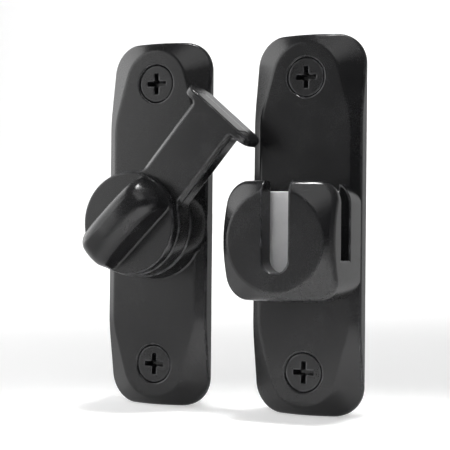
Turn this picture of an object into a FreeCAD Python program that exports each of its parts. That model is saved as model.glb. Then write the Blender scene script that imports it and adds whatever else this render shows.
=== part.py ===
import FreeCAD, Part
import Sketcher
import math
import os
import re

# Toggle bolt latch for a sliding door: a bolt unit with a flip lever and a matching keeper unit.
# Millimetres, +Z up, +X from the bolt unit to the keeper, the fronts of both units towards -Y.
# The origin is on the pivot axis, in the plane of the backs of both plates. A depth is a distance
# in front of that plane.

SIZES = {
    # both plates
    "plate_width": 26.4,
    "plate_height": 86.0,
    "plate_depth": 4.4,
    "plate_corner": 6.8,
    "side_wall": 3.0,
    "bevel_width": 2.25,
    "flank_angle": 16.0,
    "nose_radius": 8.0,
    "screw_spacing": 66.5,
    "screw_hole": 2.3,
    "countersink": 4.6,
    "countersink_rim": 0.3,
    "unit_spacing": 38.4,
    # boss and bearing of the bolt unit
    "boss_root": 13.1,
    "boss_face": 12.5,
    "boss_front": 9.8,
    "boss_edge": 0.4,
    "back_recess": 9.5,
    "back_recess_front": 6.0,
    "front_recess": 10.0,
    "front_recess_back": 9.0,
    "bush_bore": 4.05,
    "bush_sleeve": 5.2,
    "bush_flange": 6.8,
    "bush_split_back": 7.45,
    "bush_split_front": 7.55,
    "friction_inner": 7.1,
    "friction_outer": 9.8,
    "friction_front": 9.95,
    # lever
    "hub_radius": 12.2,
    "lever_back": 10.0,
    "lever_front": 14.8,
    "lever_edge": 0.9,
    "arm_width": 12.8,
    "head_inner": 31.0,
    "head_outer": 33.0,
    "head_length": 20.4,
    "head_back": 5.6,
    "head_corner": 3.4,
    "head_edge": 0.7,
    "lever_angle": 49.8,
    "square_side": 7.0,
    "square_clearance": 0.06,
    # thumb knob
    "knob_angle": 45.0,
    "knob_radius": 11.75,
    "knob_back": 14.9,
    "knob_disc_front": 17.0,
    "knob_rim": 0.35,
    "wing_front": 25.1,
    "wing_foot": 10.4,
    "wing_crest": 7.8,
    "wing_corner": 2.8,
    "wing_crown": 2.6,
    # spindle and what holds it
    "journal_radius": 4.0,
    "thread_radius": 3.0,
    "tang_radius": 3.2,
    "tang_front": 20.0,
    "spindle_back": 0.5,
    "journal_back": 4.7,
    "washer_radius": 6.8,
    "thrust_back": 3.95,
    "thrust_bore": 3.1,
    "wave_back": 4.75,
    "wave_inner": 4.3,
    "wave_outer": 6.5,
    "rear_flange_back": 5.2,
    "nut_flats": 10.0,
    "nut_back": 1.55,
    "insert_back": 0.65,
    "insert_radius": 4.1,
    "nut_collar": 4.7,
    # wood screws
    "screw_head": 4.3,
    "screw_rim": 0.25,
    "screw_sink": 0.35,
    "screw_neck": 2.2,
    "screw_shank": 2.0,
    "screw_length": 19.0,
    "screw_point": 4.0,
    "cross_reach": 2.5,
    "cross_width": 1.1,
    "cross_depth": 1.7,
    # keeper block, from the back of its unit's plate
    "block_size": 26.2,
    "block_corner": 5.0,
    "block_drop": 3.6,
    "block_front": 20.9,
    "disc_radius": 11.3,
    "disc_slope": 36.0,
    "cavity_half": 10.2,
    "cavity_front": 15.9,
    "cavity_floor": 9.0,
    "front_slot": 6.2,
    "front_slot_drop": 3.9,
    "side_slot_back": 9.6,
    "side_slot_front": 15.2,
    "side_slot_drop": 4.2,
    # wear liner of the keeper block
    "liner_sheet": 0.8,
    "liner_gap": 0.1,
    "liner_height": 20.0,
    # screws that hold the keeper block from behind
    "block_screw_across": 8.0,
    "block_screw_drop": 11.0,
    "block_screw_shank": 1.5,
    "block_screw_head": 2.8,
    "block_screw_sink": 0.3,
    "block_screw_front": 13.0,
}

doc = FreeCAD.newDocument("toggle_bolt_latch")
sheet = doc.addObject("Spreadsheet::Sheet", "Sizes")
for row, (alias, millimetres) in enumerate(SIZES.items(), start=1):
    sheet.set("A%d" % row, alias)
    sheet.set("B%d" % row, str(millimetres))
    sheet.setAlias("B%d" % row, alias)
doc.recompute()

sub_parts = []


def bind(words):
    """Point each size's name in an expression at its cell in the sheet."""
    def cell(word):
        name = word.group()
        return "Sizes." + name if name in SIZES else name
    return re.sub(r"[a-z_]+", cell, words)


def number(owner, words):
    """The value that an expression has now."""
    return float(owner.evalExpression(bind(words)))


def new_body(name):
    return doc.addObject("PartDesign::Body", name)


def new_sketch(body, name, role, depth="0"):
    """A sketch on one of the body's origin planes, moved along the plane's normal by depth."""
    plane = next(feature for feature in body.Origin.OriginFeatures if feature.Role == role)
    sketch = body.newObject("Sketcher::SketchObject", name)
    sketch.AttachmentSupport = [(plane, "")]
    sketch.MapMode = "FlatFace"
    if depth != "0":
        sketch.setExpression(".AttachmentOffset.Base.z", bind(depth))
    return sketch


def fix_point(sketch, geometry, point, across, up):
    """Hold one point of a sketch at the two distances from its origin that the expressions give."""
    for kind, words, axis in (("DistanceX", across, -2), ("DistanceY", up, -1)):
        distance = number(sketch, words)
        if distance == 0:
            sketch.addConstraint(Sketcher.Constraint("PointOnObject", geometry, point, axis))
        else:
            index = sketch.addConstraint(Sketcher.Constraint(kind, -1, 1, geometry, point, distance))
            sketch.setExpression("Constraints[%d]" % index, bind(words))


def set_radius(sketch, geometry, words):
    index = sketch.addConstraint(Sketcher.Constraint("Radius", geometry, number(sketch, words)))
    sketch.setExpression("Constraints[%d]" % index, bind(words))


def draw_polygon(sketch, corners):
    """A closed polygon with each corner held by its two expressions."""
    places = [FreeCAD.Vector(number(sketch, across), number(sketch, up), 0) for across, up in corners]
    count = len(corners)
    for index in range(count):
        sketch.addGeometry(Part.LineSegment(places[index], places[(index + 1) % count]), False)
    for index in range(count):
        sketch.addConstraint(Sketcher.Constraint("Coincident", index, 2, (index + 1) % count, 1))
    for index, (across, up) in enumerate(corners):
        fix_point(sketch, index, 1, across, up)


def draw_circle(sketch, radius, across="0", up="0"):
    centre = FreeCAD.Vector(number(sketch, across), number(sketch, up), 0)
    geometry = sketch.addGeometry(Part.Circle(centre, FreeCAD.Vector(0, 0, 1), number(sketch, radius)), False)
    fix_point(sketch, geometry, 3, across, up)
    set_radius(sketch, geometry, radius)


def pad(body, sketch, length, name="Pad"):
    feature = body.newObject("PartDesign::Pad", name)
    feature.Profile = sketch
    feature.setExpression("Length", bind(length))
    doc.recompute()
    return feature


def turned(name, profile):
    """A body turned about the pivot axis from (radius, depth) corners."""
    body = new_body(name)
    sketch = new_sketch(body, name + "_profile", "XY_Plane")
    draw_polygon(sketch, [(radius, "-(%s)" % depth) for radius, depth in profile])
    turn = body.newObject("PartDesign::Revolution", name + "_turn")
    turn.Profile = sketch
    turn.ReferenceAxis = (sketch, ["V_Axis"])
    turn.Angle = 360
    doc.recompute()
    return body


def block(name, corners, back, front):
    """A body with a polygon face, seen from the front, between two depths."""
    body = new_body(name)
    sketch = new_sketch(body, name + "_face", "XZ_Plane", back)
    draw_polygon(sketch, corners)
    pad(body, sketch, "(%s) - (%s)" % (front, back))
    return body


def rectangle(half_width, bottom, top):
    left = "-(%s)" % half_width
    return [(left, bottom), (half_width, bottom), (half_width, top), (left, top)]


def round_edges(body, radius, chosen, kind="Fillet"):
    """Round or chamfer the edges of a body's tip that a test on the edge chooses."""
    tip = body.Tip
    names = ["Edge%d" % (index + 1) for index, edge in enumerate(tip.Shape.Edges) if chosen(edge)]
    feature = body.newObject("PartDesign::" + kind, kind)
    feature.Base = (tip, names)
    feature.setExpression("Radius" if kind == "Fillet" else "Size", bind(radius))
    doc.recompute()
    return feature


def move(item, across="0", up="0"):
    """Place a body to the right of the pivot axis and above it."""
    item.setExpression(".Placement.Base.x", bind(across))
    item.setExpression(".Placement.Base.z", bind(up))
    return item


def cut(name, base, *tools):
    """The base less each of the tools."""
    result = base
    for index, tool in enumerate(tools):
        step = doc.addObject("Part::Cut", "%s_cut%d" % (name, index))
        step.Base = result
        step.Tool = tool
        result = step
    doc.recompute()
    return result


def join(name, *pieces):
    result = doc.addObject("Part::MultiFuse", name + "_joined")
    result.Shapes = list(pieces)
    result.Refine = True
    doc.recompute()
    return result


def common(name, first, second):
    result = doc.addObject("Part::Common", name + "_common")
    result.Base = first
    result.Tool = second
    doc.recompute()
    return result


def sub_part(item, name):
    """Name a finished piece, so that it is checked and written."""
    item.Label = name
    sub_parts.append(item)
    return item


def runs_along(edge, axis):
    """Whether an edge is straight and parallel to an axis."""
    if edge.Curve.TypeId != "Part::GeomLine":
        return False
    return abs(edge.tangentAt(edge.FirstParameter).dot(axis)) > 0.999


def lies_at(edge, depth):
    """Whether every point of an edge is at one depth."""
    return all(abs(vertex.Y + depth) < 0.001 for vertex in edge.Vertexes)


def reaches(edge, depth):
    """Whether an edge has an end at one depth."""
    return any(abs(vertex.Y + depth) < 0.001 for vertex in edge.Vertexes)


DEPTHWAYS = FreeCAD.Vector(0, 1, 0)


# ---- the plate that both units share ----

def field_outline(body, name, spread, depth):
    """The raised field of a plate: straight sides that taper to a round nose about each screw.

    Spread is how far the outline is moved outwards, all round."""
    sketch = new_sketch(body, name, "XZ_Plane", depth)
    half_width = number(sketch, "plate_width / 2 - bevel_width + " + spread)
    nose = number(sketch, "nose_radius + " + spread)
    screw_height = number(sketch, "screw_spacing / 2")
    lean = math.radians(SIZES["flank_angle"])
    touch_across = nose * math.cos(lean)
    touch_up = screw_height + nose * math.sin(lean)
    straight_end = touch_up - (half_width - touch_across) / math.tan(lean)
    centre_top = FreeCAD.Vector(0, screw_height, 0)
    centre_low = FreeCAD.Vector(0, -screw_height, 0)
    normal = FreeCAD.Vector(0, 0, 1)
    places = [
        FreeCAD.Vector(half_width, -straight_end, 0),
        FreeCAD.Vector(half_width, straight_end, 0),
        FreeCAD.Vector(touch_across, touch_up, 0),
        FreeCAD.Vector(-touch_across, touch_up, 0),
        FreeCAD.Vector(-half_width, straight_end, 0),
        FreeCAD.Vector(-half_width, -straight_end, 0),
        FreeCAD.Vector(-touch_across, -touch_up, 0),
        FreeCAD.Vector(touch_across, -touch_up, 0),
    ]
    top_circle = Part.Circle(centre_top, normal, nose)
    low_circle = Part.Circle(centre_low, normal, nose)
    sketch.addGeometry([
        Part.LineSegment(places[0], places[1]),
        Part.LineSegment(places[1], places[2]),
        Part.ArcOfCircle(top_circle, lean, math.pi - lean),
        Part.LineSegment(places[3], places[4]),
        Part.LineSegment(places[4], places[5]),
        Part.LineSegment(places[5], places[6]),
        Part.ArcOfCircle(low_circle, math.pi + lean, 2 * math.pi - lean),
        Part.LineSegment(places[7], places[0]),
    ], False)
    for first, second in ((0, 1), (3, 4), (4, 5), (7, 0)):
        sketch.addConstraint(Sketcher.Constraint("Coincident", first, 2, second, 1))
    for first, second in ((1, 2), (2, 3), (5, 6), (6, 7)):
        sketch.addConstraint(Sketcher.Constraint("Tangent", first, 2, second, 1))
    for side in (0, 4):
        sketch.addConstraint(Sketcher.Constraint("Vertical", side))
    fix_point(sketch, 2, 3, "0", "screw_spacing / 2")
    fix_point(sketch, 6, 3, "0", "-screw_spacing / 2")
    for arc in (2, 6):
        set_radius(sketch, arc, "nose_radius + " + spread)
    index = sketch.addConstraint(Sketcher.Constraint("DistanceX", -1, 1, 0, 1, half_width))
    sketch.setExpression("Constraints[%d]" % index, bind("plate_width / 2 - bevel_width + " + spread))
    index = sketch.addConstraint(Sketcher.Constraint("Angle", 1, math.pi / 2 + lean))
    sketch.setExpression("Constraints[%d]" % index, bind("(90 + flank_angle) * 1 deg"))
    sketch.addConstraint(Sketcher.Constraint("Symmetric", 0, 2, 4, 1, -2))
    sketch.addConstraint(Sketcher.Constraint("Horizontal", 0, 1, 4, 2))
    sketch.addConstraint(Sketcher.Constraint("Equal", 1, 7))
    return sketch


def plate(name):
    """A plate with a rounded outline, a raised field and a bevel that falls away to low corners."""
    outline = block(name + "_outline", rectangle("plate_width / 2", "-plate_height / 2", "plate_height / 2"),
                    "0", "plate_depth")
    round_edges(outline, "plate_corner", lambda edge: runs_along(edge, DEPTHWAYS))
    field = new_body(name + "_field")
    fall = "plate_depth * bevel_width / (plate_depth - side_wall)"
    foot = field_outline(field, name + "_field_foot", fall, "0")
    crest = field_outline(field, name + "_field_crest", "0", "plate_depth")
    loft = field.newObject("PartDesign::AdditiveLoft", name + "_bevel")
    loft.Profile = foot
    loft.Sections = [crest]
    loft.Ruled = True
    doc.recompute()
    return common(name, outline, field)


def countersinks(name):
    """The two countersunk screw holes of a plate, as cutters."""
    cone_front = "plate_depth - countersink_rim"
    profile = [
        ("0", "-1"),
        ("screw_hole", "-1"),
        ("screw_hole", cone_front + " - countersink + screw_hole"),
        ("countersink", cone_front),
        ("countersink", "plate_depth + 1"),
        ("0", "plate_depth + 1"),
    ]
    return [
        move(turned("%s_hole_%s" % (name, end), profile), up=height)
        for end, height in (("top", "screw_spacing / 2"), ("bottom", "-screw_spacing / 2"))
    ]


def cross_recess(name, front, depth):
    """The crossed slots of a screw's driver recess, as cutters."""
    floor = "%s - %s" % (front, depth)
    upright = rectangle("cross_width / 2", "-cross_reach", "cross_reach")
    level = rectangle("cross_reach", "-cross_width / 2", "cross_width / 2")
    return [
        block(name + "_upright_slot", upright, floor, front + " + 1"),
        block(name + "_level_slot", level, floor, front + " + 1"),
    ]


def wood_screw(name, across, up):
    """A countersunk wood screw with a plain neck in its plate and a thinner shank behind it."""
    front = "plate_depth - screw_sink"
    tip = front + " - screw_length"
    cone_front = front + " - screw_rim"
    screw = turned(name + "_turned", [
        ("0", tip),
        ("screw_shank", tip + " + screw_point"),
        ("screw_shank", "0"),
        ("screw_neck", "0"),
        ("screw_neck", cone_front + " - screw_head + screw_neck"),
        ("screw_head", cone_front),
        ("screw_head", front),
        ("0", front),
    ])
    finished = cut(name, screw, *cross_recess(name, front, "cross_depth"))
    return sub_part(move(finished, across, up), name)


# ---- bolt unit: the fixed pieces ----

def bolt_plate():
    """The plate with its round boss, bored for the two bushes and recessed for the nut."""
    boss = turned("boss", [
        ("0", "0"),
        ("boss_root", "0"),
        ("boss_root", "side_wall"),
        ("boss_face", "boss_front - boss_edge"),
        ("boss_face - boss_edge", "boss_front"),
        ("0", "boss_front"),
    ])
    bearing_bore = turned("bearing_bore", [
        ("0", "-1"),
        ("back_recess", "-1"),
        ("back_recess", "back_recess_front"),
        ("bush_sleeve", "back_recess_front"),
        ("bush_sleeve", "front_recess_back"),
        ("front_recess", "front_recess_back"),
        ("front_recess", "boss_front + 1"),
        ("0", "boss_front + 1"),
    ])
    whole = join("bolt_plate", plate("bolt_plate"), boss)
    return sub_part(cut("bolt_plate", whole, bearing_bore, *countersinks("bolt_plate")), "bolt_plate")


def washer(name, inner, outer, back, front):
    return sub_part(turned(name, [(inner, back), (outer, back), (outer, front), (inner, front)]), name)


def bearing():
    """Two flanged bushes in the boss, the friction washer before them and the wave washer behind."""
    sub_part(turned("front_bush", [
        ("bush_bore", "bush_split_front"),
        ("bush_sleeve", "bush_split_front"),
        ("bush_sleeve", "front_recess_back"),
        ("bush_flange", "front_recess_back"),
        ("bush_flange", "boss_front"),
        ("bush_bore", "boss_front"),
    ]), "front_bush")
    sub_part(turned("rear_bush", [
        ("bush_bore", "rear_flange_back"),
        ("bush_flange", "rear_flange_back"),
        ("bush_flange", "back_recess_front"),
        ("bush_sleeve", "back_recess_front"),
        ("bush_sleeve", "bush_split_back"),
        ("bush_bore", "bush_split_back"),
    ]), "rear_bush")
    washer("friction_washer", "friction_inner", "friction_outer", "front_recess_back", "friction_front")
    washer("wave_washer", "wave_inner", "wave_outer", "wave_back", "rear_flange_back")


# ---- bolt unit: the pieces that turn, drawn with the arm along +X ----

def raise_up(item, angle):
    """Turn a finished piece about the pivot axis, up from +X by an angle in degrees."""
    item.Placement = FreeCAD.Placement(FreeCAD.Vector(0, 0, 0), FreeCAD.Rotation(FreeCAD.Vector(0, -1, 0), 1))
    item.setExpression(".Placement.Rotation.Angle", bind(angle + " * 1 deg"))
    return item


def lever():
    """The flip lever: a round hub, a flat arm with bevelled edges and a crosswise head."""
    hub = turned("lever_hub", [
        ("0", "lever_back"),
        ("hub_radius", "lever_back"),
        ("hub_radius", "lever_front - lever_edge / 2"),
        ("hub_radius - lever_edge / 2", "lever_front"),
        ("0", "lever_front"),
    ])
    arm = block("lever_arm", [
        ("0", "-arm_width / 2"),
        ("head_inner + lever_edge", "-arm_width / 2"),
        ("head_inner + lever_edge", "arm_width / 2"),
        ("0", "arm_width / 2"),
    ], "lever_back", "lever_front")
    along_arm = FreeCAD.Vector(1, 0, 0)
    front = SIZES["lever_front"]
    round_edges(arm, "lever_edge", lambda edge: runs_along(edge, along_arm) and lies_at(edge, front),
                "Chamfer")
    head = block("lever_head", [
        ("head_inner", "-head_length / 2"),
        ("head_outer", "-head_length / 2"),
        ("head_outer", "head_length / 2"),
        ("head_inner", "head_length / 2"),
    ], "head_back", "lever_front")
    round_edges(head, "head_corner", lambda edge: runs_along(edge, along_arm))
    faces = (SIZES["head_inner"], SIZES["head_outer"])
    round_edges(head, "head_edge", lambda edge: any(
        all(abs(vertex.X - face) < 0.001 for vertex in edge.Vertexes) for face in faces))
    square = block("lever_square", rectangle("(square_side + square_clearance) / 2",
                                             "-(square_side + square_clearance) / 2",
                                             "(square_side + square_clearance) / 2"),
                   "lever_back - 1", "lever_front + 1")
    whole = join("lever", hub, arm, head)
    return sub_part(raise_up(cut("lever", whole, square), "lever_angle"), "lever")


def thumb_knob():
    """The round thumb knob with a tapered wing grip across it, in line with the arm."""
    disc = turned("knob_disc", [
        ("0", "knob_back"),
        ("knob_radius", "knob_back"),
        ("knob_radius", "knob_disc_front - knob_rim"),
        ("knob_radius - knob_rim", "knob_disc_front"),
        ("0", "knob_disc_front"),
    ])
    wing = new_body("knob_wing")
    section = new_sketch(wing, "wing_section", "YZ_Plane", "-(knob_radius + 1)")
    draw_polygon(section, [
        ("-knob_back - knob_rim", "-wing_foot / 2"),
        ("-wing_front", "-wing_crest / 2"),
        ("-wing_front", "wing_crest / 2"),
        ("-knob_back - knob_rim", "wing_foot / 2"),
    ])
    pad(wing, section, "2 * (knob_radius + 1)")
    surround = new_sketch(wing, "wing_surround", "XZ_Plane", "wing_front + 1")
    draw_circle(surround, "knob_radius - knob_rim")
    draw_circle(surround, "2 * knob_radius")
    trim = wing.newObject("PartDesign::Pocket", "wing_trim")
    trim.Profile = surround
    trim.Type = "ThroughAll"
    doc.recompute()
    front = SIZES["wing_front"]
    round_edges(wing, "wing_corner", lambda edge: reaches(edge, front) and not lies_at(edge, front))
    round_edges(wing, "wing_crown", lambda edge: lies_at(edge, front))
    socket = turned("knob_socket", [
        ("0", "knob_back - 1"),
        ("tang_radius", "knob_back - 1"),
        ("tang_radius", "tang_front"),
        ("0", "tang_front"),
    ])
    whole = join("thumb_knob", disc, wing)
    return sub_part(raise_up(cut("thumb_knob", whole, socket), "knob_angle"), "thumb_knob")


def spindle():
    """The steel spindle: thread, journal, square for the lever and tang for the knob."""
    shaft = turned("spindle_shaft", [
        ("0", "spindle_back"),
        ("thread_radius", "spindle_back"),
        ("thread_radius", "journal_back"),
        ("journal_radius", "journal_back"),
        ("journal_radius", "lever_back"),
        ("tang_radius", "lever_back"),
        ("tang_radius", "tang_front"),
        ("0", "tang_front"),
    ])
    square = block("spindle_square", rectangle("square_side / 2", "-square_side / 2", "square_side / 2"),
                   "lever_back", "knob_back")
    return sub_part(raise_up(join("spindle", shaft, square), "lever_angle"), "spindle")


def lock_nut():
    """The hexagonal nut with its collar, and the nylon ring inside the collar."""
    half_side = "nut_flats / 2 * tan(30 deg)"
    corner = "nut_flats / 2 / cos(30 deg)"
    hexagon = block("nut_hexagon", [
        (corner, "0"),
        (half_side, "nut_flats / 2"),
        ("-" + half_side, "nut_flats / 2"),
        ("-" + corner, "0"),
        ("-" + half_side, "-nut_flats / 2"),
        (half_side, "-nut_flats / 2"),
    ], "nut_back", "thrust_back")
    collar = turned("nut_collar_ring", [
        ("thread_radius", "insert_back"),
        ("nut_collar", "insert_back"),
        ("nut_collar", "nut_back + 0.1"),
        ("thread_radius", "nut_back + 0.1"),
    ])
    bore = turned("nut_bore", [
        ("0", "insert_back - 1"),
        ("insert_radius", "insert_back - 1"),
        ("insert_radius", "nut_back"),
        ("thread_radius", "nut_back"),
        ("thread_radius", "thrust_back + 1"),
        ("0", "thrust_back + 1"),
    ])
    whole = join("lock_nut", hexagon, collar)
    sub_part(raise_up(cut("lock_nut", whole, bore), "lever_angle"), "lock_nut")
    washer("nut_insert", "thread_radius", "insert_radius", "insert_back", "nut_back")
    washer("thrust_washer", "thrust_bore", "washer_radius", "thrust_back", "journal_back")


# ---- keeper unit, drawn about its own centre and moved to its place ----

BLOCK_TOP = "block_size / 2 - block_drop"
BLOCK_BOTTOM = "-block_size / 2 - block_drop"
BLOCK_FLOOR = "-cavity_floor - block_drop"


def block_screw_places():
    height = "-block_drop - block_screw_drop"
    return (("left", "-block_screw_across", height), ("right", "block_screw_across", height))


def keeper_plate():
    holes = []
    cone_front = "block_screw_sink + block_screw_head - block_screw_shank"
    for side, across, up in block_screw_places():
        hole = turned("keeper_plate_%s_hole" % side, [
            ("0", "-1"),
            ("block_screw_head", "-1"),
            ("block_screw_head", "block_screw_sink"),
            ("block_screw_shank", cone_front),
            ("block_screw_shank", "plate_depth + 1"),
            ("0", "plate_depth + 1"),
        ])
        holes.append(move(hole, across, up))
    whole = plate("keeper_plate")
    finished = cut("keeper_plate", whole, *countersinks("keeper_plate"), *holes)
    return sub_part(move(finished, "unit_spacing"), "keeper_plate")


def keeper_block():
    """The open-topped block: a raised disc on the front, a cavity, a front slot and two side slots."""
    outline = block("block_outline", rectangle("block_size / 2", BLOCK_BOTTOM, BLOCK_TOP),
                    "side_wall", "block_front")
    round_edges(outline, "block_corner", lambda edge: runs_along(edge, DEPTHWAYS))
    reach = "block_size"
    slope_foot = "block_front - (block_size - disc_radius) * tan(disc_slope * 1 deg)"
    face = move(turned("block_face", [
        ("0", "0"),
        (reach, "0"),
        (reach, slope_foot),
        ("disc_radius", "block_front"),
        ("0", "block_front"),
    ]), up="-block_drop")
    above = BLOCK_TOP + " + 1"
    cavity = block("block_cavity", rectangle("cavity_half", BLOCK_FLOOR, above), "0", "cavity_front")
    slot_centre = "-block_drop - front_slot_drop"
    front_slot = block("block_front_slot", rectangle("front_slot / 2", slot_centre, above),
                       "cavity_front - 1", "block_front + 1")
    slot_end = move(turned("block_front_slot_end", [
        ("0", "cavity_front - 1"),
        ("front_slot / 2", "cavity_front - 1"),
        ("front_slot / 2", "block_front + 1"),
        ("0", "block_front + 1"),
    ]), up=slot_centre)
    side_slots = block("block_side_slots", rectangle("block_size", "-block_drop - side_slot_drop", above),
                       "side_slot_back", "side_slot_front")
    screw_holes = [
        move(turned("block_%s_hole" % side, [
            ("0", "0"),
            ("block_screw_shank", "0"),
            ("block_screw_shank", "block_screw_front"),
            ("0", "block_screw_front"),
        ]), across, up)
        for side, across, up in block_screw_places()
    ]
    seat = plate("block_seat")
    finished = cut("keeper_block", common("keeper_block", outline, face),
                   cavity, front_slot, slot_end, side_slots, seat, *screw_holes)
    return sub_part(move(finished, "unit_spacing"), "keeper_block")


def keeper_liner():
    """The bent steel sheet that lines the back and the floor of the block's cavity."""
    half_width = "cavity_half - liner_gap"
    low = BLOCK_FLOOR + " + liner_gap"
    back_sheet = block("liner_back", rectangle(half_width, low, low + " + liner_height"),
                       "plate_depth", "plate_depth + liner_sheet")
    floor_sheet = block("liner_floor", rectangle(half_width, low, low + " + liner_sheet"),
                        "plate_depth", "cavity_front - liner_gap")
    return sub_part(move(join("keeper_liner", back_sheet, floor_sheet), "unit_spacing"), "keeper_liner")


def block_screws():
    """The two countersunk screws that hold the block from behind its plate."""
    for side, across, up in block_screw_places():
        name = "block_screw_" + side
        screw = turned(name + "_turned", [
            ("0", "block_screw_sink"),
            ("block_screw_head", "block_screw_sink"),
            ("block_screw_shank", "block_screw_sink + block_screw_head - block_screw_shank"),
            ("block_screw_shank", "block_screw_front"),
            ("0", "block_screw_front"),
        ])
        sub_part(move(screw, "unit_spacing + (%s)" % across, up), name)


bolt_plate()
bearing()
lever()
thumb_knob()
spindle()
lock_nut()
for end, up in (("top", "screw_spacing / 2"), ("bottom", "-screw_spacing / 2")):
    wood_screw("bolt_screw_" + end, "0", up)
keeper_plate()
keeper_block()
keeper_liner()
block_screws()
for end, up in (("top", "screw_spacing / 2"), ("bottom", "-screw_spacing / 2")):
    wood_screw("keeper_screw_" + end, "unit_spacing", up)
doc.recompute()


def check_document():
    """Stop before anything is written if an object failed or a piece isn't a sound solid."""
    for item in doc.Objects:
        if "Invalid" in item.State or "Error" in item.State:
            raise RuntimeError("%s failed: %s" % (item.Name, item.State))
    for piece in sub_parts:
        if piece.Shape.isNull() or not piece.Shape.isValid() or not piece.Shape.Solids:
            raise RuntimeError("%s isn't a sound solid" % piece.Label)


check_document()
os.makedirs("parts", exist_ok=True)
for piece in sub_parts:
    piece.Shape.exportStep("parts/%s.step" % piece.Label)
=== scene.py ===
import math

import bpy
import numpy as np
from mathutils import Matrix, Vector


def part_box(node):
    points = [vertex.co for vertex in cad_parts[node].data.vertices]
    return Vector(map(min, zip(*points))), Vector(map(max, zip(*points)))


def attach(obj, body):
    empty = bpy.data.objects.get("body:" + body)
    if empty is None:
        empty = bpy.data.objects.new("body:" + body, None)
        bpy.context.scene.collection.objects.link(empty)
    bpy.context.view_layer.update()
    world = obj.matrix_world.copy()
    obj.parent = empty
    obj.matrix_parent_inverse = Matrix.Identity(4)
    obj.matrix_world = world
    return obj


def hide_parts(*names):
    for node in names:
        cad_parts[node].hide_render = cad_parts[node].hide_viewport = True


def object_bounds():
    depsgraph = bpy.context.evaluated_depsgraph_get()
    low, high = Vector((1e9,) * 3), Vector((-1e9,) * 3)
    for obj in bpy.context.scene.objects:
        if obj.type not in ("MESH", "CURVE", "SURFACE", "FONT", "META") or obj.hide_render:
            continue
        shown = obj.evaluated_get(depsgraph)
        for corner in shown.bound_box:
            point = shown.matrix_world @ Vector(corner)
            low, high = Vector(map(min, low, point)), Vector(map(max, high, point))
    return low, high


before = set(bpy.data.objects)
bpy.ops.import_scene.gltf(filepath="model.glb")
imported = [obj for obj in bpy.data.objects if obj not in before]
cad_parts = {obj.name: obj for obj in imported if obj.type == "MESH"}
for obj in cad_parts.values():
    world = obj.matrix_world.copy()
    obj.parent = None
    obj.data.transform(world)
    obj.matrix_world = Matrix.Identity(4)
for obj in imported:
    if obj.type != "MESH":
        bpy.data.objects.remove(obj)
cad_box = [list(corner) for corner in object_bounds()]

MM = 0.001
DIAGONAL = math.sqrt(0.5)

# ---- sizes in millimetres, the CAD's or just inside them. Depths start at the backs of the plates. ----

PLATE_HALF = (13.2, 43.0)
PLATE_SKIN = 0.01  # how far the outline of a plate stays inside the CAD's
PLATE_DEPTH = 4.4
PLATE_CORNER = 6.8
SIDE_WALL = 3.0
BEVEL = 2.25
FLANK = math.radians(16.0)
NOSE = 8.0
SCREW_UP = 33.25
BOSS_FRONT = 9.8
KEEPER_MIDDLE = 1000 * ((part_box("keeper_plate")[0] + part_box("keeper_plate")[1]) / 2).x
BLOCK_UP = -3.6
BLOCK_HALF = 13.1
BLOCK_FRONT = 20.9
BLOCK_BACK = 3.0
BLOCK_SCREW_ACROSS = 8.0
BLOCK_SCREW_UP = -14.6
BLOCK_SCREW_LENGTH = 12.6
BLOCK_SCREW_HEAD = 2.75
BLOCK_SCREW_HEAD_AT = -0.3
LINER_HALF = 10.1
LINER_LOW = -8.9
LINER_HEIGHT = 20.0
LINER_FRONT = 15.8
LEVER_ANGLE = math.radians(49.8)
LEVER_BACK = 10.0
LEVER_FRONT = 14.8
HUB_RADIUS = 12.2
HEAD_BACK = 5.6
HEAD_OUTER = 33.0
KNOB_ANGLE = math.radians(45.0)
KNOB_RADIUS = 11.75
KNOB_BACK = 14.9
WING_FRONT = 25.1
SCREW_HEAD = 4.3
SCREW_FRONT = 4.05
SCREW_TIP = -14.93
SCREW_LOWEST = -14.95  # where the grid that samples a wood screw starts
NUT_BACK = 0.65
NUT_FRONT = 3.95
NUT_HALF = 5.8
SPINDLE_BACK = 0.5
SPINDLE_FRONT = 20.0
JOURNAL_RADIUS = 4.0


# ---- distance fields: negative inside, in millimetres ----

def both(first, second, radius=0.0):
    """What two shapes share, with the edge between them rounded."""
    if np.ndim(radius) == 0 and radius == 0:
        return np.maximum(first, second)
    corner = np.hypot(np.maximum(first + radius, 0), np.maximum(second + radius, 0))
    return np.minimum(-radius, np.maximum(first, second)) + corner


def either(first, second, radius=0.0):
    """Two shapes joined, with a fillet where they meet."""
    return -both(-first, -second, radius)


def less(first, second, radius=0.0):
    """The first shape with the second cut out of it."""
    return both(first, -second, radius)


def soft_max(first, second, width):
    """The larger of two values, blended where they are nearly the same."""
    near = np.maximum(width - np.abs(first - second), 0) / width
    return np.maximum(first, second) + near * near * width / 4


def slab(value, low, high):
    """All that lies between two levels."""
    return np.maximum(low - value, value - high)


def round_box(across, up, half_across, half_up, radius):
    """A rectangle with rounded corners."""
    far_across = np.abs(across) - half_across + radius
    far_up = np.abs(up) - half_up + radius
    outside = np.hypot(np.maximum(far_across, 0), np.maximum(far_up, 0))
    return outside + np.minimum(np.maximum(far_across, far_up), 0) - radius


def ring(across, up, radius):
    """A circle."""
    return np.hypot(across, up) - radius


# ---- from a field to a mesh ----

MARGIN = 1.37
REFINE_STEPS = 4
STAY_NEAR_MIDDLE = 0.04
NORMAL_STEP = 0.05
WEAR_PER_BEND = 0.4


def slope_of(field, points, step=0.02):
    """The unit outward direction of a field at some points."""
    parts = []
    for axis in range(3):
        shift = np.zeros(3)
        shift[axis] = step
        parts.append(field(*(points + shift).T) - field(*(points - shift).T))
    slope = np.stack(parts, axis=1)
    return slope / np.maximum(np.linalg.norm(slope, axis=1, keepdims=True), 1e-12)


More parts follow.
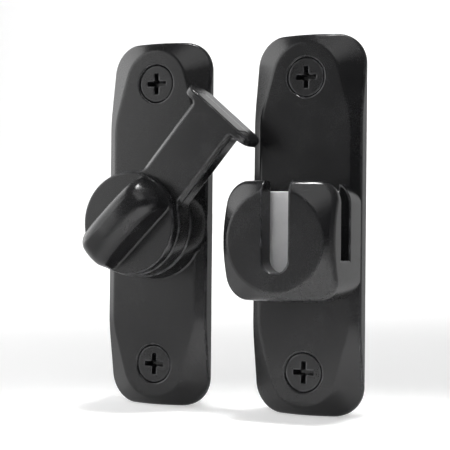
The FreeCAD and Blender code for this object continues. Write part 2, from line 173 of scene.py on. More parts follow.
def crossings(field, value, low, cell, axis):
    """Where grid lines along one axis cross the surface."""
    step = np.zeros(3, int)
    step[axis] = 1
    inside = value < 0
    ahead = tuple(slice(1, None) if other == axis else slice(None) for other in range(3))
    behind = tuple(slice(None, -1) if other == axis else slice(None) for other in range(3))
    index = np.argwhere(inside[ahead] != inside[behind])
    near = value[tuple(index.T)]
    far = value[tuple((index + step).T)]
    along = near / (near - far)
    start = low + cell * index
    low_end, high_end = np.zeros(len(index)), np.ones(len(index))
    for _ in range(REFINE_STEPS):
        here = field(*(start + (cell * along)[:, None] * step).T)
        same = (here < 0) == (near < 0)
        low_end = np.where(same, along, low_end)
        high_end = np.where(same, high_end, along)
        near = np.where(same, here, near)
        far = np.where(same, far, here)
        gap = np.where(near == far, 1, near - far)
        along = np.clip(low_end + (high_end - low_end) * near / gap, low_end, high_end)
    point = start + (cell * along)[:, None] * step
    return index, point, inside[tuple(index.T)]


def contour(field, low, high, cell):
    """A closed quad mesh of the field's surface by dual contouring, with true edges and corners."""
    low = np.asarray(low, float) - MARGIN * cell
    high = np.asarray(high, float) + MARGIN * cell
    counts = np.ceil((high - low) / cell).astype(int) + 1
    axes = [low[axis] + cell * np.arange(counts[axis]) for axis in range(3)]
    value = field(*np.meshgrid(*axes, indexing="ij"))
    cells, quads, spots, ways = [], [], [], []
    for axis in range(3):
        index, point, solid_first = crossings(field, value, low, cell, axis)
        way = slope_of(field, point)
        sides = []
        for across, up in ((0, 0), (-1, 0), (-1, -1), (0, -1)):
            place = index.copy()
            place[:, (axis + 1) % 3] += across
            place[:, (axis + 2) % 3] += up
            sides.append(np.ravel_multi_index(tuple(place.T), tuple(counts)))
        quad = np.stack(sides, axis=1)
        quads.append(np.where(solid_first[:, None], quad, quad[:, ::-1]))
        cells.append(quad.ravel())
        spots.append(np.repeat(point, 4, axis=0))
        ways.append(np.repeat(way, 4, axis=0))
    cells, spots, ways = np.concatenate(cells), np.concatenate(spots), np.concatenate(ways)
    used, place = np.unique(cells, return_inverse=True)

    def total(weights):
        return np.bincount(place, weights, minlength=len(used))

    count = total(np.ones(len(cells)))
    middle = np.stack([total(spots[:, axis]) for axis in range(3)], axis=1) / count[:, None]
    reach = np.sum(ways * (spots - middle[place]), axis=1)
    square = np.empty((len(used), 3, 3))
    pull = np.empty((len(used), 3))
    for row in range(3):
        pull[:, row] = total(ways[:, row] * reach)
        for column in range(3):
            square[:, row, column] = total(ways[:, row] * ways[:, column])
    square += np.eye(3) * STAY_NEAR_MIDDLE
    vertices = middle + np.linalg.solve(square, pull[:, :, None])[:, :, 0]
    corner = low + cell * np.stack(np.unravel_index(used, tuple(counts)), axis=1)
    vertices = np.clip(vertices, corner, corner + cell)
    faces = np.searchsorted(used, np.concatenate(quads))
    return vertices, faces


def bend_of(field, points, reach=0.3):
    """How sharply the surface bends at each point: over 0 on an outer edge, under 0 in a hollow one."""
    total = -6 * field(*points.T)
    for axis in range(3):
        shift = np.zeros(3)
        shift[axis] = reach
        total += field(*(points + shift).T) + field(*(points - shift).T)
    return total / reach ** 2


def facing(origin, angle=0.0):
    """A frame on the front of the latch: its own axes run along the angle, into depth, and across."""
    cosine, sine = math.cos(angle), math.sin(angle)
    return np.array(origin, float), np.array([[cosine, 0, sine], [0, -1, 0], [-sine, 0, cosine]])


def shape(name, field, low, high, cell, place, look, body, slot, nodes):
    """One finished piece from a field of its own along, depth and up coordinates."""
    points, faces = contour(field, low, high, cell)
    faces = faces[:, ::-1]  # the frame that the points go into is left-handed
    normals = slope_of(field, points, NORMAL_STEP)
    bend = bend_of(field, points)
    origin, axes = place
    mesh = bpy.data.meshes.new(name)
    mesh.vertices.add(len(points))
    mesh.vertices.foreach_set("co", ((origin + points @ axes) * MM).astype(np.float32).ravel())
    mesh.loops.add(faces.size)
    mesh.loops.foreach_set("vertex_index", np.ascontiguousarray(faces).astype(np.int32).ravel())
    mesh.polygons.add(len(faces))
    mesh.polygons.foreach_set("loop_start", np.arange(0, faces.size, 4, dtype=np.int32))
    mesh.update(calc_edges=True)
    mesh.validate()
    mesh.shade_smooth()
    mesh.normals_split_custom_set_from_vertices((normals @ axes).astype(np.float32))
    wear = mesh.attributes.new("edge_wear", "FLOAT", "POINT")
    wear.data.foreach_set("value", np.clip(bend * WEAR_PER_BEND, 0, 1).astype(np.float32))
    mesh.materials.append(look)
    piece = bpy.data.objects.new(name, mesh)
    bpy.context.scene.collection.objects.link(piece)
    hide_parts(*nodes)
    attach(piece, body)


# ---- materials ----

MOST = (0.3, 0.7)  # most of a noise's values lie between these
PATCH_SCALE = 90.0
SPECKLE_SCALE = 5200.0
RUB_SCALE = 420.0
RUBBED_BLACK = (0.085, 0.085, 0.09, 1)
SPECKLE_ROUGH = 0.025
SPECKLE_DEPTH = 0.0000015
PEEL_DEPTH = 0.000005
COATING_IOR = 1.4
DRAWN_DEPTH = 0.000006
PATCH_BAND = (0.35, 0.65)
EDGE_BAND = (0.25, 0.95)
RUB_BAND = (0.42, 0.62)
LEAST_RUB = 0.15
STEEL_PATCH_SCALE = 160.0
CLOUD_SCALE = 220.0
ROUGH_SWING = 0.06


def add(tree, kind, inputs=(), **settings):
    """A node with settings on itself and (socket, value or output) pairs on its inputs."""
    item = tree.nodes.new(kind)
    for key, value in settings.items():
        setattr(item, key, value)
    for socket, value in inputs:
        if isinstance(value, bpy.types.NodeSocket):
            tree.links.new(value, item.inputs[socket])
        else:
            item.inputs[socket].default_value = value
    return item


def start_material(name):
    """A new material, its nodes, its shader, and the place on the object."""
    material = bpy.data.materials.new(name)
    material.use_nodes = True
    tree = material.node_tree
    shader = tree.nodes["Principled BSDF"]
    where = add(tree, "ShaderNodeTexCoord").outputs["Object"]
    return material, tree, shader, where


def noise(tree, where, scale, detail=3.0, rough=0.55):
    """A noise of about 1 / scale metres to a blotch."""
    return add(tree, "ShaderNodeTexNoise", (
        ("Vector", where), ("Scale", scale), ("Detail", detail), ("Roughness", rough))).outputs["Fac"]


def between(tree, fac, low, high, new_low, new_high):
    """A value taken from one range to another."""
    return add(tree, "ShaderNodeMapRange", (
        ("Value", fac), ("From Min", low), ("From Max", high), ("To Min", new_low), ("To Max", new_high),
    )).outputs["Result"]


def mixed(tree, fac, first, second):
    """A colour between two others. The node has its colours on sockets 6 and 7 and on output 2."""
    item = add(tree, "ShaderNodeMix", data_type="RGBA")
    for socket, value in ((0, fac), (6, first), (7, second)):
        if isinstance(value, bpy.types.NodeSocket):
            tree.links.new(value, item.inputs[socket])
        else:
            item.inputs[socket].default_value = value
    return item.outputs[2]


def combined(tree, operation, first, second):
    """Two values added or multiplied."""
    return add(tree, "ShaderNodeMath", ((0, first), (1, second)), operation=operation).outputs[0]


def bump(tree, height, depth, strength, below=None):
    """Surface relief of a depth in metres, on top of any other relief."""
    inputs = [("Height", height), ("Distance", depth), ("Strength", strength)]
    if below is not None:
        inputs.append(("Normal", below))
    return add(tree, "ShaderNodeBump", inputs).outputs["Normal"]


def coating(name, dark, light, rough_low, rough_high, grain, wear):
    """A satin black coating: a faint orange peel, patches a little duller than others, and edges that
    hands have rubbed lighter."""
    material, tree, shader, where = start_material(name)
    patches = noise(tree, where, PATCH_SCALE, detail=4.0)
    speckle = noise(tree, where, SPECKLE_SCALE, detail=2.0)
    peel = noise(tree, where, grain, detail=2.0)
    colour = mixed(tree, between(tree, patches, *PATCH_BAND, 0.0, 1.0), dark, light)
    edge = add(tree, "ShaderNodeAttribute", attribute_name="edge_wear").outputs["Fac"]
    rubbed = combined(tree, "MULTIPLY", between(tree, edge, *EDGE_BAND, 0.0, wear),
                      between(tree, noise(tree, where, RUB_SCALE, detail=5.0), *RUB_BAND, LEAST_RUB, 1.0))
    colour = mixed(tree, rubbed, colour, RUBBED_BLACK)
    rough = combined(tree, "ADD", between(tree, patches, *MOST, rough_low, rough_high),
                     between(tree, speckle, *MOST, -SPECKLE_ROUGH, SPECKLE_ROUGH))
    tree.links.new(colour, shader.inputs["Base Color"])
    tree.links.new(rough, shader.inputs["Roughness"])
    surface = bump(tree, peel, PEEL_DEPTH, strength=0.5)
    surface = bump(tree, speckle, SPECKLE_DEPTH, strength=0.4, below=surface)
    tree.links.new(surface, shader.inputs["Normal"])
    shader.inputs["IOR"].default_value = COATING_IOR
    return material


def steel(name, dark, light, rough_low, rough_high, stretch, scale):
    """Bare or plated steel with fine marks drawn out along one way."""
    material, tree, shader, where = start_material(name)
    drawn = add(tree, "ShaderNodeMapping", (("Vector", where), ("Scale", stretch))).outputs["Vector"]
    lines = noise(tree, drawn, scale, detail=5.0, rough=0.65)
    patches = noise(tree, where, STEEL_PATCH_SCALE, detail=4.0)
    colour = mixed(tree, between(tree, patches, *MOST, 0.0, 1.0), dark, light)
    rough = between(tree, lines, *MOST, rough_low, rough_high)
    tree.links.new(colour, shader.inputs["Base Color"])
    tree.links.new(rough, shader.inputs["Roughness"])
    tree.links.new(bump(tree, lines, DRAWN_DEPTH, strength=0.7), shader.inputs["Normal"])
    shader.inputs["Metallic"].default_value = 1.0
    return material


def moulded(name, dark, light, rough, grain, depth):
    """Nylon or pressed fibre: a dull surface with a fine grain and cloudy patches."""
    material, tree, shader, where = start_material(name)
    patches = noise(tree, where, CLOUD_SCALE, detail=5.0)
    fine = noise(tree, where, grain, detail=4.0, rough=0.7)
    colour = mixed(tree, between(tree, patches, *MOST, 0.0, 1.0), dark, light)
    tree.links.new(colour, shader.inputs["Base Color"])
    swing = between(tree, fine, *MOST, rough - ROUGH_SWING, rough + ROUGH_SWING)
    tree.links.new(swing, shader.inputs["Roughness"])
    tree.links.new(bump(tree, fine, depth, strength=0.6), shader.inputs["Normal"])
    return material


CASTING = coating(
    "black_casting", dark=(0.005, 0.005, 0.0055, 1), light=(0.008, 0.008, 0.0085, 1),
    rough_low=0.23, rough_high=0.28, grain=2600.0, wear=0.5)
SCREW_BLACK = coating(
    "black_screw", dark=(0.004, 0.004, 0.0045, 1), light=(0.007, 0.007, 0.0075, 1),
    rough_low=0.24, rough_high=0.32, grain=4200.0, wear=0.7)
ZINC = steel(
    "zinc_steel", dark=(0.46, 0.47, 0.48, 1), light=(0.6, 0.6, 0.61, 1),
    rough_low=0.24, rough_high=0.4, stretch=(1.0, 1.0, 1.0), scale=500.0)
LINER = steel(
    "satin_steel", dark=(0.74, 0.74, 0.75, 1), light=(0.84, 0.84, 0.84, 1),
    rough_low=0.5, rough_high=0.66, stretch=(12.0, 1.0, 0.6), scale=900.0)
NYLON = moulded(
    "nylon", dark=(0.74, 0.72, 0.66, 1), light=(0.82, 0.81, 0.76, 1), rough=0.45, grain=3000.0, depth=0.00001)
FIBRE = moulded(
    "fibre", dark=(0.30, 0.09, 0.05, 1), light=(0.42, 0.14, 0.08, 1), rough=0.7, grain=2200.0, depth=0.00003)


# ---- the plate that both units share ----

def field_edge(across, up):
    """How far a point is outside the raised field of a plate."""
    blend = 0.8
    across, up = np.abs(across), np.abs(up)
    side = across - (PLATE_HALF[0] - BEVEL)
    flank = across * math.cos(FLANK) + (up - SCREW_UP) * math.sin(FLANK) - NOSE
    nose = ring(across, up - SCREW_UP, NOSE)
    beyond = (up - SCREW_UP) * math.cos(FLANK) - across * math.sin(FLANK) > 0
    return soft_max(side, np.where(beyond, nose, flank), blend)


def plate_field(across, depth, up):
    """A plate: rounded outline, raised field, and a bevel that falls away to low corners."""
    crease, front_edge, back_edge = 0.22, 0.45, 0.2
    fall = (PLATE_DEPTH - SIDE_WALL) / BEVEL
    bevel = (depth - PLATE_DEPTH + fall * field_edge(across, up)) / math.hypot(1, fall)
    top = soft_max(depth - PLATE_DEPTH, bevel, crease)
    half_across, half_up = PLATE_HALF
    outline = round_box(across, up, half_across - PLATE_SKIN, half_up - PLATE_SKIN, PLATE_CORNER)
    return both(both(outline, top, front_edge), -depth, back_edge)


def countersink(across, depth, up):
    """The hole for one wood screw."""
    hole, sink, cone_end = 2.3, 4.6, 4.1
    radius = np.hypot(across, up)
    cone = (radius - sink - (depth - cone_end)) * DIAGONAL
    return np.minimum(radius - hole, np.maximum(cone, radius - sink))


def with_countersinks(field, across, depth, up):
    """A plate's field with both screw holes in it."""
    edge = 0.12
    for centre_up in (SCREW_UP, -SCREW_UP):
        field = less(field, countersink(across, depth, up - centre_up), edge)
    return field


def bolt_plate_field(across, depth, up):
    """The lever's plate, with its boss and the bearing's recesses in it."""
    foot_radius, top_radius, foot = 13.1, 12.5, 3.0
    nut_recess, nut_recess_depth = 9.5, 6.0
    washer_recess, washer_recess_floor = 10.0, 9.0
    hole = 5.2
    radius = np.hypot(across, up)
    lean = (foot_radius - top_radius) / (BOSS_FRONT - foot)
    side = (radius - foot_radius + lean * np.maximum(depth - foot, 0)) / math.hypot(1, lean)
    boss = both(both(side, depth - BOSS_FRONT, 0.5), -depth, 0.2)
    field = either(plate_field(across, depth, up), boss, 0.35)
    field = np.maximum(field, np.maximum(np.abs(across) - PLATE_HALF[0] + PLATE_SKIN, -depth))
    field = less(field, both(radius - nut_recess, depth - nut_recess_depth), 0.25)
    field = less(field, radius - hole, 0.1)
    field = less(field, both(radius - washer_recess, washer_recess_floor - depth), 0.2)
    return with_countersinks(field, across, depth, up)


def keeper_plate_field(across, depth, up):
    """The keeper's plate, with the holes for the block's screws."""
    hole_radius, sink_radius, cone = 1.5, 2.8, 3.1
    field = with_countersinks(plate_field(across, depth, up), across, depth, up)
    radius = np.hypot(np.abs(across) - BLOCK_SCREW_ACROSS, up - BLOCK_SCREW_UP)
    hole = np.minimum(radius - hole_radius, np.maximum(radius - sink_radius, radius + depth - cone))
    return less(field, hole, 0.1)


# ---- lever, with its arm along its own first axis ----

def lever_field(along, depth, across):
    """The hub, the arm with chamfered front edges, and the T-head across its end."""
    arm_half, arm_end, chamfer = 6.4, 32.5, 1.0
    head_inner, head_half, head_half_depth, head_corner = 31.0, 10.2, 4.6, 3.4
    square_half = 3.53
    radius = np.hypot(along, across)
    front, back = depth - LEVER_FRONT, LEVER_BACK - depth
    hub = both(both(radius - HUB_RADIUS, front, 0.45), back, 0.3)
    half = np.abs(across) - arm_half
    arm = soft_max(both(half, front), (half + front + chamfer) * DIAGONAL, 0.15)
    ends = np.maximum(-along, along - arm_end)
    arm = np.maximum(both(arm, back, 0.35), ends)
    outline = either(radius - HUB_RADIUS, np.maximum(half, ends), 2.0)
    blank = both(outline, slab(depth, LEVER_BACK, LEVER_FRONT), 0.3)
    body = np.maximum(either(hub, arm, 1.2), blank)
    head = round_box(across, depth - HEAD_BACK - head_half_depth, head_half, head_half_depth, head_corner)
    head = both(head, slab(along, head_inner, HEAD_OUTER), 0.55)
    body = np.maximum(either(body, head, 0.9), front)
    return less(body, np.maximum(np.abs(along), np.abs(across)) - square_half, 0.1)


# ---- thumb knob, with its wing along its own first axis ----

def knob_field(along, depth, across):
    """A disc with a tapered wing across it. The wing's ends lean in to a crown that is domed both ways,
    and its upright corners open out from nearly sharp at the foot."""
    disc_front, disc_edge = 17.0, 0.45
    wing_foot, wing_crest, foot, wing_back = 10.4, 7.8, 15.25, 15.2
    end_radius, end_lean, end_share = 11.72, 0.12, 0.993  # the share makes up for the lean
    crown_front, crown_across, crown_along, crown_flat, crown_edge = 25.09, 0.014, 0.024, 1.5, 2.8
    corner_low, corner_high, corner_growth, corner_start = 0.5, 3.4, 0.36, 16.5
    socket, socket_end = 3.2, 20.0
    radius = np.hypot(along, across)
    disc = both(both(radius - KNOB_RADIUS, depth - disc_front, disc_edge), KNOB_BACK - depth, 0.25)
    lean = (wing_foot - wing_crest) / 2 / (WING_FRONT - foot)
    side = (np.abs(across) - wing_foot / 2 + lean * (depth - foot)) / math.hypot(1, lean)
    end = (radius - end_radius + end_lean * (depth - foot)) * end_share
    dome = crown_across * across ** 2 + crown_along * np.maximum(np.abs(along) - crown_flat, 0) ** 2
    corner = np.clip(corner_low + corner_growth * (depth - corner_start), corner_low, corner_high)
    wing = both(both(side, end, corner), depth - crown_front + dome, crown_edge)
    wing = np.maximum(wing, wing_back - depth)
    return less(either(disc, wing, 0.4), both(radius - socket, depth - socket_end), 0.1)


# ---- keeper block, about the middle of its disc ----

def block_field(across, depth, up):
    """The block: a raised disc in a hollow cove, the cavity behind it, a front slot and two side slots."""
    corner, disc, cove_fall = 5.0, 11.3, math.radians(36.0)
    cavity_half, cavity_back, cavity_front, cavity_low = 10.2, 4.4, 15.9, -9.0
    slot_half, slot_low, slot_back = 3.1, -3.9, 15.0
    side_back, side_front, side_low = 9.6, 15.2, -4.2
    screw_hole, screw_hole_end = 1.5, 13.0
    plate_gap = 0.02
    radius = np.hypot(across, up)
    outline = round_box(across, up, BLOCK_HALF, BLOCK_HALF, corner)
    cove = (depth - BLOCK_FRONT + math.tan(cove_fall) * (radius - disc)) * math.cos(cove_fall)
    front = soft_max(depth - BLOCK_FRONT, cove, 0.25)
    body = both(both(outline, front, 1.0), BLOCK_BACK - depth)
    cavity = both(np.abs(across) - cavity_half, slab(depth, cavity_back, cavity_front))
    cavity = both(cavity, cavity_low - up)
    slot = np.where(up > slot_low, np.abs(across) - slot_half, ring(across, up - slot_low, slot_half))
    body = less(body, cavity, 0.35)
    body = less(body, both(slot, slot_back - depth), 0.28)
    body = less(body, both(slab(depth, side_back, side_front), side_low - up), 0.35)
    body = less(body, plate_field(across, depth, up + BLOCK_UP) - plate_gap)
    hole = ring(np.abs(across) - BLOCK_SCREW_ACROSS, up + BLOCK_UP - BLOCK_SCREW_UP, screw_hole)
    return less(body, both(hole, depth - screw_hole_end))


def liner_field(across, depth, up):
    """A sheet bent at the bottom of the cavity."""
    inner, sheet, far = 0.9, 0.8, 30
    turn = round_box(depth - PLATE_DEPTH - far, up - LINER_LOW - far, far, far, inner + sheet)
    bent = np.maximum(turn, -(turn + sheet))
    bent = both(bent, np.maximum(up - LINER_LOW - LINER_HEIGHT, depth - LINER_FRONT), 0.15)
    return both(bent, np.abs(across) - LINER_HALF, 0.2)


# ---- screws, seen from their heads: the first and last axes lie in the head's plane ----

def cross_recess(across, depth, up, front, reach, width, deep):
    """A driver's cross: four arms that narrow and shorten as they go down."""
    narrowing, shortening, core_share, core_shortening = 0.04, 0.42, 0.42, 0.3
    down = front - depth
    across, up = np.abs(across), np.abs(up)
    arm = np.minimum(across, up) - (width / 2 - narrowing * down)
    end = ring(across, up, reach) + shortening * down
    core = ring(across, up, reach * core_share) + core_shortening * down
    return both(np.minimum(both(arm, end), core), down - deep)


def thread_radius(along, depth, up, root, crest, pitch):
    """The radius of a rounded thread at each point round a screw."""
    crest_width, steepness = 1.35, 2.4
    turn = np.arctan2(up, along) / (2 * math.pi)
    phase = np.abs(((depth / pitch + turn) % 1.0) - 0.5) * 2
    return root + (crest - root) * np.clip(crest_width - steepness * phase, 0, 1)


def wood_screw_field(across, depth, up):
    """A countersunk wood screw, with depth measured from the back of its plate."""
    rim_depth, neck_radius, neck_end, shank_end = 3.8, 2.15, 3.0, 0.4
    root, crest, pitch, point, blunting, thread_lean = 1.4, 1.95, 2.1, 5.5, 0.8, 0.62
    radius = np.hypot(across, up)
    head = both(radius - SCREW_HEAD, depth - SCREW_FRONT, 0.12)
    head = both(head, (radius - SCREW_HEAD - (depth - rim_depth)) * DIAGONAL)
    neck = np.maximum(both(radius - neck_radius, -depth), depth - neck_end)
    taper = np.clip((depth - SCREW_TIP) / point, 0, 1) ** blunting
    thread = thread_radius(across, depth, up, root * taper, crest * taper, pitch)
    shank = np.maximum((radius - thread) * thread_lean, slab(depth, SCREW_TIP, shank_end))
    whole = np.minimum(either(head, neck, 0.2), shank)
    recess = cross_recess(across, depth, up, front=SCREW_FRONT, reach=2.55, width=1.14, deep=2.4)
    return less(whole, recess, 0.05)


def block_screw_field(across, depth, up):
    """A screw that holds the block from behind, with depth measured inwards from its head."""
    shank_radius, shank_start = 1.45, 0.2
    radius = np.hypot(across, up)
    head = both(radius - BLOCK_SCREW_HEAD, -depth, 0.1)
    head = both(head, (radius - BLOCK_SCREW_HEAD + depth) * DIAGONAL)
    shank = both(radius - shank_radius, slab(depth, shank_start, BLOCK_SCREW_LENGTH), 0.2)
    recess = cross_recess(across, -depth, up, front=0.0, reach=1.7, width=0.75, deep=1.1)
    return less(np.minimum(head, shank), recess, 0.06)


def nut_field(along, depth, across):
    """A hexagonal lock nut with chamfered corners and the crimped collar over its nylon ring."""
    half_flats, hexagon_back, corner_radius, corner_fall = 5.0, 1.55, 5.25, 1.7
    collar_radius, collar_end, ring_radius, bore = 4.7, 1.8, 4.1, 3.0
    radius = np.hypot(along, across)
    hexagon = np.abs(across)
    for angle in (math.pi / 3, -math.pi / 3):
        hexagon = np.maximum(hexagon, np.abs(across * math.cos(angle) + along * math.sin(angle)))
    body = np.maximum(hexagon - half_flats, slab(depth, hexagon_back, NUT_FRONT))
    cone = (radius - corner_radius + (hexagon_back - depth) * corner_fall) / 2
    body = soft_max(body, cone, 0.1)
    collar = both(radius - collar_radius, slab(depth, NUT_BACK, collar_end), 0.3)
    body = either(body, collar, 0.15)
    body = less(body, both(radius - ring_radius, depth - hexagon_back), 0.08)
    return less(body, radius - bore, 0.08)


def spindle_field(along, depth, across):
    """Thread, journal, square and tang of the spindle."""
    root, crest, pitch, thread_lean, start_radius, thread_end = 2.62, 2.98, 1.0, 0.8, 2.7, 4.8
    journal_back, journal_front = 4.7, 10.2
    square_back, square_front, square_half = 10.0, 14.9, 3.5
    tang_radius, tang_back = 3.2, 14.0
    radius = np.hypot(along, across)
    thread = (radius - thread_radius(along, depth, across, root, crest, pitch)) * thread_lean
    start = radius + (SPINDLE_BACK - depth) - start_radius
    thread = both(np.maximum(thread, start), slab(depth, SPINDLE_BACK, thread_end))
    journal = both(radius - JOURNAL_RADIUS, slab(depth, journal_back, journal_front), 0.2)
    flats = np.maximum(np.abs(along), np.abs(across)) - square_half
    square = np.maximum(flats, slab(depth, square_back, square_front))
    tang = both(radius - tang_radius, slab(depth, tang_back, SPINDLE_FRONT), 0.3)
    return np.minimum(np.minimum(thread, journal), np.minimum(square, tang))


# ---- build ----

PLATE_CELL, KNOB_CELL, SHEET_CELL, THREAD_CELL, SMALL_CELL = 0.28, 0.22, 0.2, 0.18, 0.15
upright = facing((0, 0, 0))
keeper_front = facing((KEEPER_MIDDLE, 0, 0))
block_front = facing((KEEPER_MIDDLE, 0, BLOCK_UP))
arm_front = facing((0, 0, 0), LEVER_ANGLE)
knob_front = facing((0, 0, 0), KNOB_ANGLE)
half_across, half_up = PLATE_HALF

# name, field, lowest and highest corners in its own frame, cell, frame, look, body, slot, nodes
PIECES = [
    ("bolt_plate_cast", bolt_plate_field, (-half_across, 0, -half_up), (half_across, BOSS_FRONT, half_up),
     PLATE_CELL, upright, CASTING, "bolt_unit", "black_casting", ["bolt_plate"]),
    ("keeper_plate_cast", keeper_plate_field, (-half_across, 0, -half_up),
     (half_across, PLATE_DEPTH, half_up),
     PLATE_CELL, keeper_front, CASTING, "keeper_unit", "black_casting", ["keeper_plate"]),
    ("keeper_block_cast", block_field, (-BLOCK_HALF, BLOCK_BACK, -BLOCK_HALF),
     (BLOCK_HALF, BLOCK_FRONT, BLOCK_HALF),
     PLATE_CELL, block_front, CASTING, "keeper_unit", "black_casting", ["keeper_block"]),
    ("keeper_liner_sheet", liner_field, (-LINER_HALF, PLATE_DEPTH, LINER_LOW),
     (LINER_HALF, LINER_FRONT, LINER_LOW + LINER_HEIGHT),
     SHEET_CELL, block_front, LINER, "keeper_unit", "satin_steel", ["keeper_liner"]),
    ("lever_cast", lever_field, (-HUB_RADIUS, HEAD_BACK, -HUB_RADIUS), (HEAD_OUTER, LEVER_FRONT, HUB_RADIUS),
     PLATE_CELL, arm_front, CASTING, "lever_unit", "black_casting", ["lever"]),
    ("thumb_knob_cast", knob_field, (-KNOB_RADIUS, KNOB_BACK, -KNOB_RADIUS),
     (KNOB_RADIUS, WING_FRONT, KNOB_RADIUS),
     KNOB_CELL, knob_front, CASTING, "lever_unit", "black_casting", ["thumb_knob"]),
    ("lock_nut_turned", nut_field, (-NUT_HALF, NUT_BACK, -NUT_HALF), (NUT_HALF, NUT_FRONT, NUT_HALF),
     SMALL_CELL, arm_front, ZINC, "lever_unit", "steel", ["lock_nut"]),
    ("spindle_turned", spindle_field, (-JOURNAL_RADIUS, SPINDLE_BACK, -JOURNAL_RADIUS),
     (JOURNAL_RADIUS, SPINDLE_FRONT, JOURNAL_RADIUS),
     SMALL_CELL, arm_front, ZINC, "lever_unit", "steel", ["spindle"]),
]
for unit, middle in (("bolt", 0.0), ("keeper", KEEPER_MIDDLE)):
    for end, centre_up in (("top", SCREW_UP), ("bottom", -SCREW_UP)):
        node = "%s_screw_%s" % (unit, end)
        PIECES.append((
            node + "_threaded", wood_screw_field, (-SCREW_HEAD, SCREW_LOWEST, -SCREW_HEAD),
            (SCREW_HEAD, SCREW_FRONT, SCREW_HEAD),
            THREAD_CELL, facing((middle, 0, centre_up)), SCREW_BLACK, unit + "_unit", "black_screw", [node]))
for side, node in ((-1, "block_screw_left"), (1, "block_screw_right")):
    head = (KEEPER_MIDDLE + side * BLOCK_SCREW_ACROSS, BLOCK_SCREW_HEAD_AT, BLOCK_SCREW_UP)
    PIECES.append((
        node + "_turned", block_screw_field, (-BLOCK_SCREW_HEAD, 0, -BLOCK_SCREW_HEAD),
        (BLOCK_SCREW_HEAD, BLOCK_SCREW_LENGTH, BLOCK_SCREW_HEAD),
        SMALL_CELL, facing(head), ZINC, "keeper_unit", "steel", [node]))
for piece in PIECES:
    shape(*piece)

for name, look in (("front_bush", NYLON), ("rear_bush", NYLON), ("nut_insert", NYLON),
                   ("friction_washer", FIBRE), ("wave_washer", ZINC), ("thrust_washer", ZINC)):
    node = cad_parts[name]
    node.data.materials.clear()
    node.data.materials.append(look)


# ---- stage, lights and camera ----

FLOOR_NEAR = -2.2
FLOOR_EDGES = (-1.0, 0.0, 0.55)
TURN_START = 0.75
TURN_RADIUS = 0.45
TURN_STEPS = 12
BACKDROP_HEIGHT = 0.75
FLOOR_HALF = 2.6
FLOOR_GLOW = 0.3
FLOOR_SCALE = 3.0
CLOTH_SCALE = 900.0
CARD_REACH = 0.012
CARD_FROM_BOLT, CARD_FROM_KEEPER = 0.0025, 0.0015
CARD_LIFT = 0.004
WORLD_GLOW = 0.2
CAMERA_AT = (0.1540, -0.28195, -0.0017)
CAMERA_AZIMUTH, CAMERA_PITCH, CAMERA_ROLL = (math.radians(angle) for angle in (26.0, -0.28, 0.528))
CAMERA_LENS = 106.8
CAMERA_SENSOR = 36.0
CAMERA_CLIP = 0.01


def staged(name, points, faces, material):
    """A mesh that belongs to the studio and not to the latch."""
    mesh = bpy.data.meshes.new(name)
    mesh.from_pydata(points, [], faces)
    mesh.materials.append(material)
    item = bpy.data.objects.new(name, mesh)
    bpy.context.scene.collection.objects.link(item)
    return item


def sweep():
    """A pale floor that curves up into a backdrop."""
    floor_up = cad_box[0][2]
    profile = [(y, floor_up) for y in (FLOOR_NEAR,) + FLOOR_EDGES]
    for step in range(TURN_STEPS + 1):
        angle = math.pi / 2 * step / TURN_STEPS
        profile.append((TURN_START + TURN_RADIUS * math.sin(angle),
                        floor_up + TURN_RADIUS * (1 - math.cos(angle))))
    profile.append((TURN_START + TURN_RADIUS, floor_up + BACKDROP_HEIGHT))
    points = [(across, y, z) for across in (-FLOOR_HALF, FLOOR_HALF) for y, z in profile]
    count = len(profile)
    faces = [(index, count + index, count + index + 1, index + 1) for index in range(count - 1)]
    material, tree, shader, where = start_material("pale_floor")
    tone = between(tree, noise(tree, where, FLOOR_SCALE, detail=3.0), *MOST, 0.0, 1.0)
    colour = mixed(tree, tone, (0.86, 0.86, 0.86, 1), (0.9, 0.9, 0.9, 1))
    tree.links.new(colour, shader.inputs["Base Color"])
    shader.inputs["Roughness"].default_value = 0.9
    shader.inputs["Specular IOR Level"].default_value = 0.1
    shader.inputs["Emission Color"].default_value = (1, 1, 1, 1)
    shader.inputs["Emission Strength"].default_value = FLOOR_GLOW
    staged("floor", points, faces, material).data.shade_smooth()


def flag(name, start, end, low, high):
    """An upright black card, out of sight, that keeps the glare of the floor off one side of the latch."""
    corners = [start + (low,), end + (low,), end + (high,), start + (high,)]
    material, tree, shader, where = start_material("black_cloth")
    cloth = noise(tree, where, CLOTH_SCALE, detail=2.0)
    tree.links.new(between(tree, cloth, 0.0, 1.0, 0.9, 1.0), shader.inputs["Roughness"])
    shader.inputs["Base Color"].default_value = (0.004, 0.004, 0.004, 1)
    shader.inputs["Specular IOR Level"].default_value = 0.0
    card = staged(name, corners, [(0, 1, 2, 3)], material)
    card.visible_camera = False
    card.visible_shadow = False
    card.visible_diffuse = False


def softbox(name, place, aim, size, power, spread=180.0):
    """A rectangular light at a place, turned to face a point."""
    light = bpy.data.lights.new(name, "AREA")
    light.shape = "RECTANGLE"
    light.size, light.size_y = size
    light.energy = power
    light.spread = math.radians(spread)
    item = bpy.data.objects.new(name, light)
    item.location = place
    item.rotation_mode = "QUATERNION"
    item.rotation_quaternion = (Vector(aim) - Vector(place)).to_track_quat("-Z", "Y")
    bpy.context.scene.collection.objects.link(item)


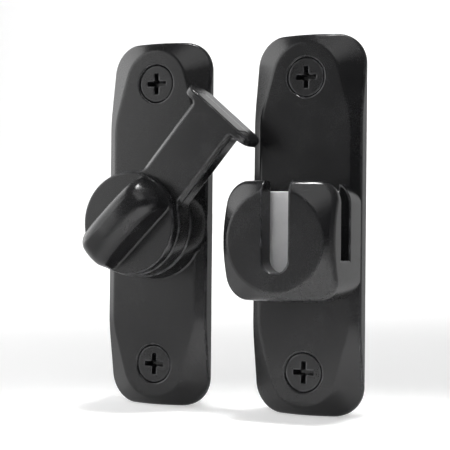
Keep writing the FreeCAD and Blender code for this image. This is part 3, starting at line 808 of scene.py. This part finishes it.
def place_camera():
    """The camera at the photograph's angle, nearly level and turned a little about its own line of sight."""
    azimuth, pitch, roll = CAMERA_AZIMUTH, CAMERA_PITCH, CAMERA_ROLL
    look = Vector((-math.sin(azimuth) * math.cos(pitch), math.cos(azimuth) * math.cos(pitch),
                   -math.sin(pitch)))
    right = Vector((math.cos(azimuth), math.sin(azimuth), 0))
    above = right.cross(look)
    data = bpy.data.cameras.new("camera")
    data.sensor_width = CAMERA_SENSOR
    data.lens = CAMERA_LENS
    data.clip_start = CAMERA_CLIP
    camera = bpy.data.objects.new("camera", data)
    axes = Matrix((right * math.cos(roll) + above * math.sin(roll),
                   above * math.cos(roll) - right * math.sin(roll), -look)).transposed()
    camera.matrix_world = Matrix.Translation(Vector(CAMERA_AT)) @ axes.to_4x4()
    bpy.context.scene.collection.objects.link(camera)
    bpy.context.scene.camera = camera


sweep()
softbox("left_wall", place=(-0.7, -0.02, 0.12), aim=(0.0, -0.02, 0.0), size=(0.8, 1.0), power=6.4)
softbox("left_front", place=(-0.635, -0.69, 0.10), aim=(0.02, 0, 0), size=(0.46, 0.9), power=4.0)
softbox("high_front", place=(0.26, -0.60, 0.60), aim=(0.02, 0, 0), size=(0.5, 0.5), power=1.5)
softbox("floor_pool", place=(0.07, -0.075, 0.5), aim=(0.07, -0.075, 0.0), size=(0.12, 0.12), power=0.15,
        spread=22.0)
softbox("backdrop_wash", place=(-0.2, 0.2, 0.75), aim=(-0.55, 1.1, 0.02), size=(0.4, 0.4), power=3.0,
        spread=110.0)
flag("flag_gap", start=(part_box("bolt_plate")[1].x + CARD_FROM_BOLT, 0),
     end=(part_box("keeper_plate")[0].x - CARD_FROM_KEEPER, 0), low=-CARD_REACH, high=CARD_REACH)
flag("flag_right", start=(0.08, -0.34), end=(0.42, -0.20), low=cad_box[0][2] + CARD_LIFT, high=0.22)

world = bpy.data.worlds.new("studio")
world.use_nodes = True
world.node_tree.nodes["Background"].inputs["Color"].default_value = (1, 1, 1, 1)
world.node_tree.nodes["Background"].inputs["Strength"].default_value = WORLD_GLOW
bpy.context.scene.world = world
bpy.context.scene.view_settings.view_transform = "Standard"
place_camera()
